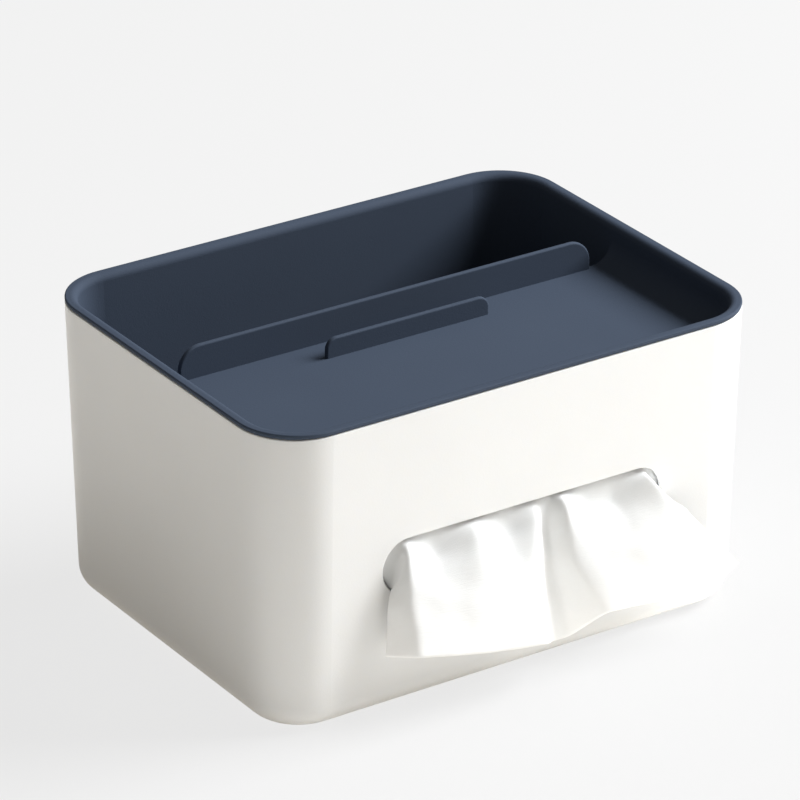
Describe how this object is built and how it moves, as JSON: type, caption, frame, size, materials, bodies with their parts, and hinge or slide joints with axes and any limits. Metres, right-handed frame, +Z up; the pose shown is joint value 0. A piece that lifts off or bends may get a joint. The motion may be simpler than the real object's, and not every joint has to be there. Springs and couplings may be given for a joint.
{
  "type": "tissue box organizer",
  "caption": "Desk tissue box with rounded white tub, front stadium slot, folded leading sheet, and a dark lift-out tray with shallow basin, phone rib and deep rear pocket.",
  "frame": {"origin": "centre of the tub's flat underside, on the surface that it stands on", "axes": "+X along the long front, +Y from the slotted front towards the deep rear pocket, +Z up"},
  "size_m": [0.212, 0.1757, 0.1194],
  "materials": {
    "white_plastic": "satin",
    "navy_plastic": "matt",
    "foot_rubber": "matt",
    "tissue_paper": "soft"
  },
  "bodies": {
    "box": {"outer_box": "white_plastic", "foot_pad_front_left": "foot_rubber", "foot_pad_front_right": "foot_rubber", "foot_pad_rear_left": "foot_rubber", "foot_pad_rear_right": "foot_rubber", "tissue_stack": "tissue_paper", "pulled_tissue": "tissue_paper"},
    "tray": {"top_tray": "navy_plastic"}
  },
  "joints": [
    {"name": "tray_lift", "type": "slide", "parent": "box", "child": "tray", "axis": [0, 0, 1], "range_m": [0, 0.12]}
  ]
}
